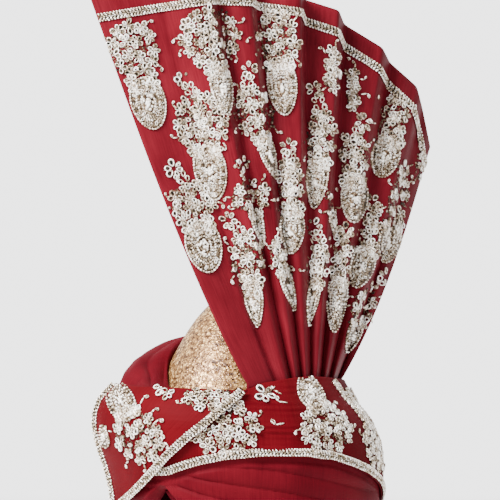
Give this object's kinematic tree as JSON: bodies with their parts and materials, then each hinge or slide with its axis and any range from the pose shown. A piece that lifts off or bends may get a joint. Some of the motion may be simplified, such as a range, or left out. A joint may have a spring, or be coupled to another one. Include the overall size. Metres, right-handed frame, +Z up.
{
  "type": "tied turban pagri",
  "caption": "Tied groom's turban of red satin wound round a gold cap, with crossing embroidered laps and a tall pleated fan edged in silver braid.",
  "frame": {"origin": "middle of the head opening at the brow line, where a head holds the turban", "axes": "+Z up through the crown, the brow faces -Y, the wearer's left is +X"},
  "size_m": [0.2205, 0.3105, 0.4562],
  "materials": {
    "gold_tinsel": "glittering woven tinsel",
    "red_satin": "satin",
    "embroidered_satin": "satin with silver embroidery",
    "silver_braid": "corded metal thread"
  },
  "bodies": {
    "root": {"kulla_cap": "gold_tinsel", "wound_cloth": "red_satin", "band_under": "embroidered_satin", "band_over": "embroidered_satin", "turra_fan": "embroidered_satin", "fan_braid": "silver_braid", "band_under_braid": "silver_braid", "band_over_braid": "silver_braid"}
  },
  "joints": []
}
